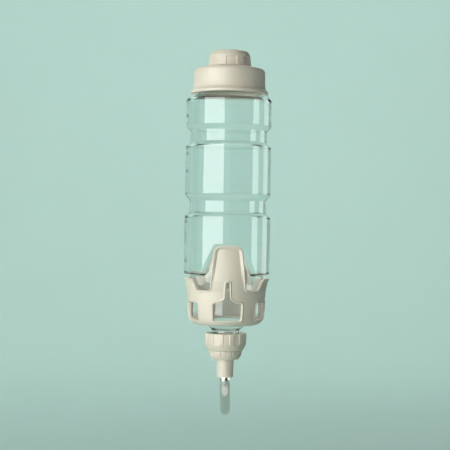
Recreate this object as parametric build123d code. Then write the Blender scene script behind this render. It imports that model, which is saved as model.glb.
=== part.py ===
from build123d import *
import math
import os

# Top-filled, bottom-drinking water bottle for a rabbit cage, with its clip-in cradle.
# +Z is up, the front faces -Y and the cage is on the +Y side. The origin is the centre of the
# cradle's bearing face, on the clamp bolt's axis. All sizes are in millimetres.

# ---- driving dimensions -------------------------------------------------------------------
AXIS_Y = -44.0          # bottle axis behind the bearing face
FIT = 0.03              # radial clearance of a close running fit

# clear bottle
R_BODY = 41.1           # wide bands
R_WAIST = 37.0          # two grip waists
WALL = 1.3              # blown wall
Z_SHOULDER = 174.7      # start of the top shoulder
Z_MOUTH = 201.3         # rim of the wide top mouth
R_MOUTH = 30.6          # outside of the top mouth, under its thread
MOUTH_WALL = 2.1
Z_STEP = 8.8            # lower edge of the widest part
R_LOW = 33.2            # lower body inside the cradle
Z_FLOOR = -33.2         # start of the bottom cone
R_NECK = 13.2           # bottom neck, under its thread
NECK_WALL = 1.7
Z_NECK_END = -58.8      # rim of the bottom neck
R_BEAD = 17.0           # transfer bead above the collar

# screw threads: height of the ridge, pitch, turns
LID_PITCH, LID_TURNS, LID_RIDGE = 4.0, 1.5, 1.2
CAP_PITCH, CAP_TURNS, CAP_RIDGE = 3.0, 1.75, 0.9
COL_PITCH, COL_TURNS, COL_RIDGE = 3.2, 1.4, 1.0

# wide top lid
R_LID = 34.3
R_FLANGE = 37.3
Z_LID_BOTTOM = 180.5
Z_LID_TOP = 206.7
R_FILL = 12.6           # fill opening
R_SPIGOT = 15.2
Z_SPIGOT = 217.6

# fill cap
R_CAP_BOTTOM, R_CAP_TOP = 20.8, 19.2
Z_CAP_BOTTOM, Z_CAP_TOP = 207.0, 222.3
CAP_GRIPS = 7
CAP_BORE = R_SPIGOT + CAP_RIDGE + 0.4

# cradle
CRADLE_WALL = 2.6
Z_CRADLE_BOTTOM = -39.6
R_CRADLE_HOLE = 23.5
Z_HUMP, Z_VALLEY, Z_TONGUE, Z_BACK_TONGUE = 4.8, -6.0, 35.6, 33.0
Z_WIN_TOP, Z_WIN_BOTTOM = -17.7, -34.3
PAD_HALF_X, PAD_LOW, PAD_HIGH = 14.0, -17.0, 14.0

# cage clamp, an M6 bolt with a plate and a wing nut
R_BOLT = 3.0
BOLT_END = 23.0
WIRE_GAP = 3.0          # space for the cage wire between pad and plate
PLATE_T = 3.4
WASHER_T = 1.2

# collar and spout
R_COLLAR = 20.1
Z_COLLAR_TOP, Z_COLLAR_BOTTOM = -47.8, -64.3
COLLAR_GRIPS = 12
R_RING_TOP, R_RING_BOTTOM = 15.8, 14.9
Z_RING_BOTTOM = -72.7
R_HUB = 11.2
R_SLEEVE_TOP, R_SLEEVE_BOTTOM = 8.3, 7.8
Z_SLEEVE_END = -89.9
R_TUBE, TUBE_WALL = 5.0, 0.8
Z_TUBE_TOP = -64.8
Z_BEND = -91.0
R_BEND = 18.0
BEND = 62.0             # degrees from straight down, towards the cage
TUBE_RUN = 51.0         # straight run after the bend
SWING = 3.0             # degrees the bend is turned to the right of straight back
R_BALL = 3.55


# ---- helpers ---------------------------------------------------------------------------------
def rounded(points):
    """Face in the local XY plane from corners (x, y) or (x, y, fillet radius)."""
    n = len(points)
    spans, arcs = [], []
    for i, p in enumerate(points):
        a, b = points[i - 1], points[(i + 1) % n]
        r = p[2] if len(p) > 2 else 0
        if not r:
            arcs.append(((p[0], p[1]), None, (p[0], p[1])))
            continue
        ua = (a[0] - p[0], a[1] - p[1])
        ub = (b[0] - p[0], b[1] - p[1])
        la, lb = math.hypot(*ua), math.hypot(*ub)
        ua, ub = (ua[0] / la, ua[1] / la), (ub[0] / lb, ub[1] / lb)
        half = math.acos(max(-1, min(1, ua[0] * ub[0] + ua[1] * ub[1]))) / 2
        t = r / math.tan(half)
        bis = (ua[0] + ub[0], ua[1] + ub[1])
        lm = math.hypot(*bis)
        d = r / math.sin(half) - r
        arcs.append((
            (p[0] + ua[0] * t, p[1] + ua[1] * t),
            (p[0] + bis[0] / lm * d, p[1] + bis[1] / lm * d),
            (p[0] + ub[0] * t, p[1] + ub[1] * t),
        ))
    edges = []
    for i, (s, m, e) in enumerate(arcs):
        if m is not None:
            edges.append(ThreePointArc(s, m, e))
        nxt = arcs[(i + 1) % n][0]
        if math.hypot(nxt[0] - e[0], nxt[1] - e[1]) > 1e-6:
            edges.append(Line(e, nxt))
    return make_face(edges)


def turned(points):
    """Solid of revolution about Z from corners (radius, z, fillet radius)."""
    return revolve(Plane.XZ * rounded(points), Axis.Z)


def front(points, depth=60.0, start=0.0):
    """Prism towards the front (-Y) from corners in (x, z)."""
    return Pos(0, -start, 0) * extrude(Plane.XZ * rounded(points), amount=depth)


def back(points, depth=60.0, start=0.0):
    """Prism towards the cage (+Y) from corners in (x, z)."""
    return Pos(0, start, 0) * extrude(Plane.XZ * rounded(points), amount=-depth)


def side(points, depth=60.0):
    """Prism both ways along X from corners in (y, z)."""
    return extrude(Plane.YZ * rounded(points), amount=depth, both=True)


def mirrored(points):
    """Closed outline from its right half (x, z, r), mirrored about x = 0."""
    return points + [(-p[0],) + tuple(p[1:]) for p in reversed(points)]


def ridge(r_root, height, z_low, pitch, turns, w_root, w_crest):
    """Helical thread ridge about Z, sunk 0.25 mm into its wall."""
    path = Helix(pitch=pitch, height=pitch * turns, radius=r_root, center=(0, 0, z_low))
    start = path @ 0
    x_dir = Vector(start.X, start.Y, 0).normalized()
    section = Plane(origin=start, x_dir=x_dir, z_dir=path % 0) * make_face(
        Polyline((-0.25, -w_root / 2), (height, -w_crest / 2), (height, w_crest / 2),
                 (-0.25, w_root / 2), close=True))
    return sweep(section, path=path, is_frenet=True)


def spread(shape, count, first=0.0):
    """The shape repeated about Z."""
    return [Rot(0, 0, first + i * 360 / count) * shape for i in range(count)]


def place(shape):
    """Moves a piece from the bottle's axis to the part's frame."""
    return Pos(0, AXIS_Y, 0) * shape


# ---- clear bottle ------------------------------------------------------------------------------
def bottle_form(t):
    """Closed form of the bottle; t is how far inside the outer skin it lies."""
    rm = R_MOUTH - (MOUTH_WALL if t else 0)
    rn = R_NECK - (NECK_WALL if t else 0)
    ext = 1.0 if t else 0.0       # the inner form runs out of both mouths
    hi = [
        (0, Z_MOUTH + ext), (rm, Z_MOUTH + ext), (rm, 182.6 - 0.4 * t, 2.0),
        (36.6 - t, 180.0 - 0.8 * t, 3.0), (R_BODY - t, Z_SHOULDER - 0.8 * t, 3.0),
        (R_BODY - t, 149.3 + 0.6 * t, 2.0), (R_WAIST - t, 145.2 + 0.2 * t, 2.0),
        (R_WAIST - t, 133.4 - 0.2 * t, 2.5), (R_BODY - t, 130.8 - 1.1 * t, 2.6),
        (R_BODY - t, 84.3 + 0.6 * t, 2.0), (R_WAIST - t, 78.4 + 0.2 * t, 2.0),
        (R_WAIST - t, 66.7 - 0.2 * t, 2.5), (R_BODY - t, 64.1 - 1.1 * t, 2.6),
        (R_BODY - t, Z_STEP + 0.8 * t, 2.0), (35.2 - t, 7.2 + t), (0, 7.2 + t),
    ]
    lo = [
        (0, 50.0), (36.9 - t, 50.0), (36.9 - t, 37.0, 20), (36.3 - t, 20.0, 30), (35.2 - t, 3.0, 30),
        (34.1 - t, -7.0, 30), (R_LOW - t, -20.0, 30), (R_LOW - t, Z_FLOOR + 0.5 * t, 6.5),
        (21.0 - 0.6 * t, -37.6 + 0.9 * t, 5.0), (15.6 - 0.8 * t, -42.8 + 0.4 * t, 3.0),
        (rn, -44.8 + 0.2 * t, 1.5), (rn, Z_NECK_END - ext), (0, Z_NECK_END - ext),
    ]
    body = turned(hi)
    # pockets that let the cradle's two tongues lie flush with the body
    def arch(grow):
        g = grow + t
        return mirrored([
            (29.0 + g, 3.0 - 0.2 * g), (22.6 + g, 12.6 + 0.2 * g, 7.0), (17.2 + g, 26.0 + 0.4 * g, 16.0),
            (13.0 + g, 36.6 + g, 6.0),
        ])
    for s in (1, -1):
        outer = Pos(0, -s * 47.0, 0) * (Plane.XZ * rounded(arch(3.4)))
        inner = Pos(0, -s * 25.0, 0) * (Plane.XZ * rounded(arch(-6.2)))
        body -= loft([outer, inner], ruled=True)
    return body + turned(lo)


bottle = bottle_form(0) - bottle_form(WALL)
bottle += turned([(R_NECK - 0.6, -47.9), (R_BEAD, -48.3, 0.5), (R_BEAD, -49.6, 0.5), (R_NECK - 0.6, -50.2)])
bottle += ridge(R_MOUTH, LID_RIDGE, 189.2, LID_PITCH, LID_TURNS, 2.4, 1.0)
bottle += ridge(R_NECK, COL_RIDGE, -57.2, COL_PITCH, COL_TURNS, 1.9, 0.8)

# ---- wide top lid with its fill spigot -------------------------------------------------------------
lid_bore = R_MOUTH + LID_RIDGE + 0.5
top_lid = turned([
    (R_FILL, 200.9), (R_FILL, Z_SPIGOT, 0.4), (R_SPIGOT, Z_SPIGOT, 0.6), (R_SPIGOT, Z_LID_TOP, 0.4),
    (22.0, Z_LID_TOP, 4.0), (31.0, 205.0, 6.0), (R_LID - 0.1, 204.0, 3.4), (R_LID, 190.0, 14.0),
    (R_LID + 0.5, 185.2, 5.0), (R_FLANGE, 183.0, 0.9), (R_FLANGE, Z_LID_BOTTOM + 0.4, 0.35),
    (35.6, Z_LID_BOTTOM + 0.2, 0.3), (34.4, 184.4, 0.6), (lid_bore, 185.0, 0.6), (lid_bore, 203.0),
    (26.9, 203.0, 0.3), (26.9, 200.9, 0.3), (25.2, 200.9, 0.3), (25.2, 203.0, 0.5), (14.8, 203.6, 0.5),
    (14.8, 200.9, 0.4),
])
top_lid += ridge(R_SPIGOT, CAP_RIDGE, 209.4, CAP_PITCH, CAP_TURNS, 1.8, 0.8)
lid_seal = turned([(27.5, Z_MOUTH, 0.3), (31.6, Z_MOUTH, 0.3), (31.6, 203.0, 0.3), (27.5, 203.0, 0.3)])

# ---- fill cap ---------------------------------------------------------------------------------------
fill_cap = turned([
    (0, 219.3), (0, Z_CAP_TOP), (R_CAP_TOP - 1.5, Z_CAP_TOP - 0.4, 4.0), (R_CAP_TOP + 0.5, 217.0, 6.0),
    (R_CAP_BOTTOM + 0.02, Z_CAP_BOTTOM, 0.25), (CAP_BORE, Z_CAP_BOTTOM, 0.3), (CAP_BORE, 219.3, 0.5),
])
cut = Pos(0, -R_CAP_BOTTOM - 1.5, 0) * Box(10.0, 5.0, 8.6, align=(Align.CENTER, Align.CENTER, Align.MIN))
for c in spread(Pos(0, 0, Z_CAP_BOTTOM - 0.2) * cut, CAP_GRIPS, 2.4):
    fill_cap -= c
fill_cap_seal = turned([(9.0, Z_SPIGOT, 0.3), (15.6, Z_SPIGOT, 0.3), (15.6, 219.3, 0.3), (9.0, 219.3, 0.3)])

# ---- cradle ------------------------------------------------------------------------------------------
outer_line = [(35.6, -31.6), (36.3, -25.9), (37.0, -16.3), (37.8, -6.7), (40.2, 3.2), (41.2, 14.0), (41.5, 37.0)]
shell = turned([(0, Z_CRADLE_BOTTOM), (34.6, Z_CRADLE_BOTTOM, 8.5)]
               + [(r, z, 12.0) for r, z in outer_line[1:-1]] + [outer_line[-1], (0, 37.0)])
w = CRADLE_WALL
# the floor is a shallow cone that carries the bottle's bottom cone
inside = turned([(0, 40.0), (41.5 - w, 40.0), (41.2 - w, 14.0, 12.0), (40.2 - w, 3.2, 12.0), (37.8 - w, -6.7, 12.0),
                 (37.0 - w, -16.3, 12.0), (36.3 - w, -25.9, 12.0), (33.6, -33.15, 6.3), (R_CRADLE_HOLE, -36.9, 0.6),
                 (R_CRADLE_HOLE, -41.0), (0, -41.0)])
pad = back(mirrored([(PAD_HALF_X, PAD_HIGH, 5.0), (PAD_HALF_X, PAD_LOW, 5.0)]), depth=-AXIS_Y - 30.0, start=30.0)
cradle = (shell + pad) - inside
front_edge = [(50.0, Z_HUMP, 0), (33.2, Z_HUMP, 6.0), (28.8, Z_VALLEY, 2.2), (16.8, Z_VALLEY, 4.0), (12.9, Z_TONGUE - 0.3, 6.0),
              (0.0, Z_TONGUE, 0), (-12.9, Z_TONGUE - 0.3, 6.0), (-16.8, Z_VALLEY, 4.0), (-28.8, Z_VALLEY, 2.2),
              (-33.2, Z_HUMP, 6.0), (-50.0, Z_HUMP, 0)]
cradle -= front(front_edge + [(-50.0, 60.0), (50.0, 60.0)])
cradle -= back(mirrored([(50.0, Z_HUMP, 0), (33.0, Z_HUMP, 3.0), (29.0, Z_VALLEY + 2.7, 3.0), (23.0, Z_VALLEY + 2.7, 3.0),
                         (14.6, 12.0, 12.0), (12.2, Z_BACK_TONGUE, 6.0)])
               + [(-50.0, 60.0), (50.0, 60.0)])
# front window with its bell-shaped relief slit, which frees the tongue's root
cradle -= front([(14.0, Z_WIN_BOTTOM, 1.6), (14.0, Z_WIN_TOP, 1.6), (8.4, Z_WIN_TOP, 4.0), (2.2, -14.0, 5.0),
                 (1.3, 2.0, 1.1), (-1.3, 2.0, 1.1), (-2.2, -14.0, 5.0), (-8.4, Z_WIN_TOP, 4.0),
                 (-14.0, Z_WIN_TOP, 1.6), (-14.0, Z_WIN_BOTTOM, 1.6)], start=20.0)
# side windows, two each side of a middle post
for s in (1, -1):
    cradle -= side([(s * 6.3, Z_WIN_BOTTOM, 2.2), (s * 6.3, Z_WIN_TOP, 2.2), (s * 24.8, Z_WIN_TOP, 2.2),
                    (s * 24.8, Z_WIN_BOTTOM, 2.2)])
# seat of the clamp bolt's head, with a square that stops it turning
cradle -= extrude(Plane.XZ * Circle(7.3), amount=-38.6)
cradle -= extrude(Plane.XZ * RectangleRounded(6.3, 6.3, 0.5), amount=-50.0)
base_cradle = cradle

# ---- clamp bolt, plate, washer and wing nut, along Y ------------------------------------------------
def along_y(points):
    """Solid of revolution about the bolt's axis from corners (radius, y, fillet radius), in the part's frame."""
    return revolve(Plane.XY * rounded(points), Axis.Y)


bolt = along_y([(0, -7.6), (4.5, -7.6, 3.0), (7.0, -6.3, 0.6), (7.0, -5.5, 0.3), (R_BOLT, -5.5), (R_BOLT, BOLT_END - 0.8),
                (R_BOLT - 0.8, BOLT_END), (0, BOLT_END)])
bolt += Pos(0, -5.5, 0) * extrude(Plane.XZ * RectangleRounded(6.0, 6.0, 0.4), amount=-4.6)
mount_bolt = bolt
plate_y = WIRE_GAP
clamp_plate = Pos(0, plate_y, 0) * extrude(Plane.XZ * RectangleRounded(60.0, 24.0, 9.0), amount=-PLATE_T)
clamp_plate = fillet(clamp_plate.edges().filter_by(lambda e: abs(e.center().Y - plate_y - PLATE_T) < 0.01), 1.2)
# turned-in ends that hook behind the cage wires' neighbours keep the plate level
for s in (1, -1):
    clamp_plate += Pos(s * 24.0, plate_y + PLATE_T - 0.6, 0) * extrude(
        Plane.XZ * RectangleRounded(3.0, 16.0, 1.4), amount=-1.8)
boss = along_y([(0, plate_y + 1.0), (8.5, plate_y + 1.0), (8.2, plate_y + PLATE_T + 1.4, 0.5), (0, plate_y + PLATE_T + 1.4)])
clamp_plate += boss
clamp_plate -= along_y([(0, -1.0), (R_BOLT + 0.05, -1.0), (R_BOLT + 0.05, 40.0), (0, 40.0)])
washer_y = plate_y + PLATE_T + 1.4 + 0.02
clamp_washer = along_y([(R_BOLT + 0.08, washer_y), (6.2, washer_y, 0.2), (6.2, washer_y + WASHER_T, 0.2),
                        (R_BOLT + 0.08, washer_y + WASHER_T)])
nut_y = washer_y + WASHER_T + 0.02
nut_len = 9.5
wing_nut = along_y([(0, nut_y), (7.6, nut_y, 0.6), (6.6, nut_y + nut_len, 1.4), (0, nut_y + nut_len)])
wing = [(3.0, 0.6), (9.0, 0.6, 3.0), (17.5, 3.2, 3.5), (20.4, 13.4, 2.6), (14.6, 16.6, 3.0), (8.6, 10.4, 6.0), (3.0, 8.6)]
for s in (1, -1):
    face = rounded([(s * x, nut_y + y) + tuple(r) for x, y, *r in wing])
    blade = extrude(Plane.XY * face, amount=1.9, both=True)
    blade = fillet(blade.edges().filter_by(lambda e: abs(abs(e.center().Z) - 1.9) < 0.01 and e.length > 0.6), 0.8)
    wing_nut += blade
R_INSERT = 4.6
wing_nut -= along_y([(0, nut_y - 1), (R_INSERT, nut_y - 1), (R_INSERT, nut_y + 8.0), (R_BOLT + 0.35, nut_y + 8.0),
                     (R_BOLT + 0.35, 60.0), (0, 60.0)])
nut_insert = along_y([(R_BOLT + 0.05, nut_y + 0.1), (R_INSERT, nut_y + 0.1, 0.2), (R_INSERT, nut_y + 3.4), (R_INSERT - 0.5, nut_y + 3.6),
                      (R_INSERT - 0.5, nut_y + 4.4), (R_INSERT, nut_y + 4.6), (R_INSERT, nut_y + 8.0), (R_BOLT + 0.05, nut_y + 8.0)])

# ---- collar and spout --------------------------------------------------------------------------------
col_bore = R_NECK + COL_RIDGE + 0.4
collar = turned([
    (11.6, Z_COLLAR_BOTTOM, 0.2), (16.5, Z_COLLAR_BOTTOM, 0.6), (18.9, -60.2, 3.0), (R_COLLAR - 0.1, -57.4, 3.0),
    (R_COLLAR, Z_COLLAR_TOP, 0.5), (18.7, Z_COLLAR_TOP, 0.4), (18.5, -50.8, 0.6), (col_bore, -51.6, 0.4), (col_bore, -62.5, 0.4),
    (11.6, -62.5, 0.2),
])
# shallow hollow grips between narrow lands
notch = Pos(0, -R_COLLAR - 8.1, -58.4) * Cylinder(8.8, 14.0, align=(Align.CENTER, Align.CENTER, Align.MIN))
for c in spread(notch, COLLAR_GRIPS, 0.3):
    collar -= c
neck_seal = turned([(8.6, -60.6, 0.3), (12.9, -60.6, 0.3), (12.9, Z_NECK_END, 0.3), (8.6, Z_NECK_END, 0.3)])
spout_body = turned([
    (9.0, -60.6, 0.4), (13.4, -60.6, 0.4), (13.4, -62.4, 0.4), (R_HUB, -62.4, 0.3), (R_HUB, -72.0), (R_SLEEVE_TOP, -72.0, 0.8),
    (R_SLEEVE_BOTTOM, Z_SLEEVE_END + 1.6), (R_SLEEVE_BOTTOM + 0.35, Z_SLEEVE_END + 1.2, 0.3),
    (R_SLEEVE_BOTTOM + 0.35, Z_SLEEVE_END, 0.5), (R_TUBE + 0.6, Z_SLEEVE_END, 0.4),
    (R_TUBE, Z_SLEEVE_END + 1.2), (R_TUBE, -69.9), (7.55, -69.9), (7.55, -64.2, 0.4), (9.0, -63.4, 0.6),
])
retaining_ring = turned([
    (R_HUB, -64.5), (R_RING_TOP, -64.5, 0.5), (R_RING_TOP - 0.1, -66.8, 3.0), (R_RING_BOTTOM, -69.6, 1.6), (R_RING_BOTTOM - 2.3, Z_RING_BOTTOM, 1.0),
    (9.6, Z_RING_BOTTOM, 0.4), (9.6, -72.0), (R_HUB, -72.0),
])
groove = Pos(0, -R_RING_TOP - 0.5, -69.4) * Box(1.2, 2.0, 6.0, align=(Align.CENTER, Align.CENTER, Align.MIN))
for c in spread(groove, 18, 3.0):
    retaining_ring -= c
tube_seal = Pos(0, 0, -68.55) * Torus(6.25, 1.25)

# ---- spout tube: straight, bend, straight, rolled tip ---------------------------------------------
phi = math.radians(BEND)
bend_end = (0.0, R_BEND * (1 - math.cos(phi)), Z_BEND - R_BEND * math.sin(phi))
run_dir = (0.0, math.sin(phi), -math.cos(phi))
tip = tuple(bend_end[i] + run_dir[i] * TUBE_RUN for i in range(3))
run_plane = Plane(origin=bend_end, x_dir=(1, 0, 0), z_dir=run_dir)
tip_plane = Plane(origin=tip, x_dir=(1, 0, 0), z_dir=run_dir)
r_in = R_TUBE - TUBE_WALL
TIP_LEN = 10.0
tube = turned([(r_in, Z_TUBE_TOP), (R_TUBE, Z_TUBE_TOP), (R_TUBE, -66.0), (6.8, -66.0, 0.4), (6.8, -67.2, 0.4), (R_TUBE, -67.2),
               (R_TUBE, Z_BEND), (r_in, Z_BEND)])
ring_face = Pos(0, 0, Z_BEND) * (Circle(R_TUBE) - Circle(r_in))
tube += revolve(ring_face, Axis((0, R_BEND, Z_BEND), (1, 0, 0)), revolution_arc=BEND)
tube += run_plane * extrude(Circle(R_TUBE) - Circle(r_in), amount=TUBE_RUN - TIP_LEN)
# along the tip: radius, distance from the tip's end
tip_wall = turned([(r_in, -TIP_LEN), (R_TUBE, -TIP_LEN), (R_TUBE, -9.0, 8.0), (4.55, -3.2, 6.0), (4.45, -1.3, 1.6), (3.3, 0.0, 0.25),
                   (3.1, -0.5, 0.2), (3.85, -1.6, 0.5), (3.9, -3.6, 4.0), (r_in, -8.6, 6.0)])
tube += tip_plane * tip_wall
spout_tube = tube
ball_back = 2.35        # ball's centre behind the tip's end
valve_ball = tip_plane * Pos(0, 0, -ball_back) * Sphere(R_BALL)
stop_front = 17.0
spring_len = stop_front - ball_back - R_BALL - 0.3
coil = Helix(pitch=spring_len / 7.0, height=spring_len, radius=2.6)
wire = Plane(origin=coil @ 0, z_dir=coil % 0) * Circle(0.28)
valve_spring = tip_plane * Pos(0, 0, -stop_front + 0.29) * sweep(wire, path=coil, is_frenet=True)
stop = turned([(0, -stop_front - 2.0), (r_in, -stop_front - 2.0, 0.2), (r_in, -stop_front, 0.2), (0, -stop_front)])
for h in spread(Pos(0, 2.2, -stop_front - 1) * Cylinder(0.9, 4.0), 4):
    stop -= h
spring_stop = tip_plane * stop
# the spout is screwed home with its bend a little to the right of straight back
spout_tube, valve_ball, valve_spring, spring_stop = [
    Rot(0, 0, -SWING) * shape for shape in (spout_tube, valve_ball, valve_spring, spring_stop)]

# ---- files ---------------------------------------------------------------------------------------------
on_axis = {
    "bottle": bottle, "top_lid": top_lid, "lid_seal": lid_seal, "fill_cap": fill_cap, "fill_cap_seal": fill_cap_seal,
    "base_cradle": base_cradle, "collar": collar, "neck_seal": neck_seal, "spout_body": spout_body,
    "retaining_ring": retaining_ring, "tube_seal": tube_seal, "spout_tube": spout_tube, "valve_ball": valve_ball,
    "valve_spring": valve_spring, "spring_stop": spring_stop,
}
in_frame = {
    "mount_bolt": mount_bolt, "clamp_plate": clamp_plate, "clamp_washer": clamp_washer, "wing_nut": wing_nut,
    "nut_insert": nut_insert,
}
nodes = {k: place(v) for k, v in on_axis.items()}
nodes.update(in_frame)
os.makedirs("parts", exist_ok=True)
for name, shape in nodes.items():
    shape.label = name
    export_step(shape, f"parts/{name}.step")
    b = shape.bounding_box()
    print(f"{name:16s} solids {len(shape.solids())} volume {shape.volume:10.1f}  "
          f"x {b.min.X:7.2f} {b.max.X:7.2f}  y {b.min.Y:7.2f} {b.max.Y:7.2f}  z {b.min.Z:7.2f} {b.max.Z:7.2f}")
sw = math.radians(SWING)
print("tip of the tube", tuple(round(v, 3) for v in (tip[1] * math.sin(sw), tip[1] * math.cos(sw) + AXIS_Y, tip[2])),
      "direction", tuple(round(v, 6) for v in (run_dir[1] * math.sin(sw), run_dir[1] * math.cos(sw), run_dir[2])))
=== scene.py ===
import bpy
import math
import numpy as np
from mathutils import Matrix, Vector


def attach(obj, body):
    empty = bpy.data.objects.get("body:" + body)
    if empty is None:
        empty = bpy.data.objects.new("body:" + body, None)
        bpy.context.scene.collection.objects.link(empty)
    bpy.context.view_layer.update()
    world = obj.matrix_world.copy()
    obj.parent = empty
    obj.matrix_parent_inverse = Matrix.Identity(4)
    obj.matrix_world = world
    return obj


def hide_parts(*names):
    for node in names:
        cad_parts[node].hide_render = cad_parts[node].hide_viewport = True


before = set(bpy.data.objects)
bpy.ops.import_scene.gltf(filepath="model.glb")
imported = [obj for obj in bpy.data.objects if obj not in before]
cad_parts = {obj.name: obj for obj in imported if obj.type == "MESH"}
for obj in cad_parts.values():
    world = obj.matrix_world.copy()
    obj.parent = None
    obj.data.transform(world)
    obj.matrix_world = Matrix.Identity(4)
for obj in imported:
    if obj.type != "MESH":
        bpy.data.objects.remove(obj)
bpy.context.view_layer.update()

MM = 0.001
AXIS = -44.0            # the bottle's axis in Y, in millimetres; shapes below are in millimetres about it
RAD = math.pi / 180


# =====================================================================================================
# shapes
# =====================================================================================================
def rounded(corners, closed=True, arc=9.0, support=0.22):
    """Dense outline from corners (x, y) or (x, y, fillet radius), with a point close to each end of every
    straight run so that shading stays crisp there."""
    n = len(corners)
    out = []
    for i, p in enumerate(corners):
        r = p[2] if len(p) > 2 else 0
        if not r or (not closed and i in (0, n - 1)):
            out.append([(p[0], p[1])])
            continue
        a, b = corners[i - 1], corners[(i + 1) % n]
        ua = np.array([a[0] - p[0], a[1] - p[1]], float)
        ub = np.array([b[0] - p[0], b[1] - p[1]], float)
        ua /= np.linalg.norm(ua)
        ub /= np.linalg.norm(ub)
        half = math.acos(max(-1, min(1, float(ua @ ub)))) / 2
        t = r / math.tan(half)
        bis = (ua + ub) / np.linalg.norm(ua + ub)
        c = np.array([p[0], p[1]]) + bis * (r / math.sin(half))
        s = np.array([p[0], p[1]]) + ua * t - c
        e = np.array([p[0], p[1]]) + ub * t - c
        a0, a1 = math.atan2(s[1], s[0]), math.atan2(e[1], e[0])
        d = (a1 - a0 + math.pi) % (2 * math.pi) - math.pi
        k = max(2, int(math.ceil(abs(d) / (arc * RAD))))
        out.append([tuple(c + r * np.array([math.cos(a0 + d * j / k), math.sin(a0 + d * j / k)])) for j in range(k + 1)])
    pts = []
    for i, group in enumerate(out):
        pts.extend(group)
        if not closed and i == n - 1:
            break
        e, nx = np.array(group[-1]), np.array(out[(i + 1) % n][0])
        length = np.linalg.norm(nx - e)
        if length > 4 * support and support:
            u = (nx - e) / length
            pts.append(tuple(e + u * support))
            pts.append(tuple(nx - u * support))
    clean = [pts[0]]
    for q in pts[1:]:
        if math.hypot(q[0] - clean[-1][0], q[1] - clean[-1][1]) > 1e-5:
            clean.append(q)
    if closed and math.hypot(clean[0][0] - clean[-1][0], clean[0][1] - clean[-1][1]) < 1e-5:
        clean.pop()
    return np.array(clean)


def smooth(a, b, x):
    t = np.clip((x - a) / (b - a), 0, 1)
    return t * t * (3 - 2 * t)


def wrap(a):
    """Angle in degrees to -180..180."""
    return (a + 180.0) % 360.0 - 180.0


def mesh_object(name, verts, quads, tris=(), normals=None, material=None, smooth_faces=True):
    me = bpy.data.meshes.new(name)
    quads = np.asarray(quads, np.int32).reshape(-1, 4)
    tris = np.asarray(tris, np.int32).reshape(-1, 3)
    loops = np.concatenate([quads.ravel(), tris.ravel()])
    totals = np.concatenate([np.full(len(quads), 4), np.full(len(tris), 3)]).astype(np.int32)
    starts = np.concatenate([[0], np.cumsum(totals)[:-1]]).astype(np.int32)
    me.vertices.add(len(verts))
    me.vertices.foreach_set("co", (np.asarray(verts, float) * MM).astype(np.float32).ravel())
    me.loops.add(len(loops))
    me.loops.foreach_set("vertex_index", loops)
    me.polygons.add(len(totals))
    me.polygons.foreach_set("loop_start", starts)
    me.polygons.foreach_set("loop_total", totals)
    me.polygons.foreach_set("use_smooth", np.full(len(totals), bool(smooth_faces)))
    me.update(calc_edges=True)
    me.validate()
    if normals is not None:
        me.normals_split_custom_set_from_vertices(np.asarray(normals, float).tolist())
    o = bpy.data.objects.new(name, me)
    bpy.context.scene.collection.objects.link(o)
    if material is not None:
        me.materials.append(material)
    return o


def straight(s):
    """Axis map of a straight lathe: centre, across and along directions at height s."""
    return (0.0, AXIS, s), (0.0, 1.0, 0.0)


def lathe(name, outline, segs, material, warp=None, axis=straight, turn=0.0):
    """Closed surface from an outline of (radius, height), turned about an axis that may bend. Where the
    outline touches the axis it closes to a point. warp(radius, height, degrees from the front) returns radius."""
    o = np.asarray(outline, float)
    area = 0.5 * np.sum(o[:, 0] * np.roll(o[:, 1], -1) - np.roll(o[:, 0], -1) * o[:, 1])
    if area < 0:
        o = o[::-1]
    poles = np.where(o[:, 0] < 1e-6)[0]
    if len(poles):
        # start just after the run along the axis
        last = [k for k in poles if (k + 1) % len(o) not in poles][0]
        o = np.roll(o, -last, axis=0)
        keep = o[:, 0] > 1e-6
        p0, p1 = o[0], o[~keep][-1] if (~keep).sum() > 1 else o[0]
        body = o[keep]
    else:
        p0 = p1 = None
        body = o
    th = np.arange(segs) * 360.0 / segs + turn
    R = np.repeat(body[:, :1], segs, 1)
    Z = np.repeat(body[:, 1:2], segs, 1)
    T = np.repeat(th[None, :], len(body), 0)
    if warp is not None:
        R = warp(R, Z, T)
    cen, nrm = zip(*[axis(z) for z in body[:, 1]])
    cen, nrm = np.array(cen), np.array(nrm)
    V = np.empty((len(body), segs, 3))
    st, ct = np.sin(T * RAD), np.cos(T * RAD)
    # 0 degrees looks to the front, -Y; +X is 90 degrees
    V[..., 0] = cen[:, None, 0] + R * st
    V[..., 1] = cen[:, None, 1] - R * ct * nrm[:, None, 1]
    V[..., 2] = cen[:, None, 2] - R * ct * nrm[:, None, 2]
    n, m = V.shape[:2]
    idx = np.arange(n * m).reshape(n, m)
    rows = n if p0 is None else n - 1
    a = idx[:rows]
    b = np.roll(idx, -1, 0)[:rows]
    quads = np.stack([a, np.roll(a, -1, 1), np.roll(b, -1, 1), b], -1).reshape(-1, 4)
    verts = V.reshape(-1, 3)
    tris = []
    if p0 is not None:
        c0, _ = axis(p0[1])
        c1, _ = axis(p1[1])
        i0, i1 = len(verts), len(verts) + 1
        verts = np.vstack([verts, c0, c1])
        first, final = idx[0], idx[-1]
        tris = np.concatenate([
            np.stack([np.full(m, i0), np.roll(first, -1), first], -1),
            np.stack([np.full(m, i1), final, np.roll(final, -1)], -1)])
    return mesh_object(name, verts, quads, tris, material=material)


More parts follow.
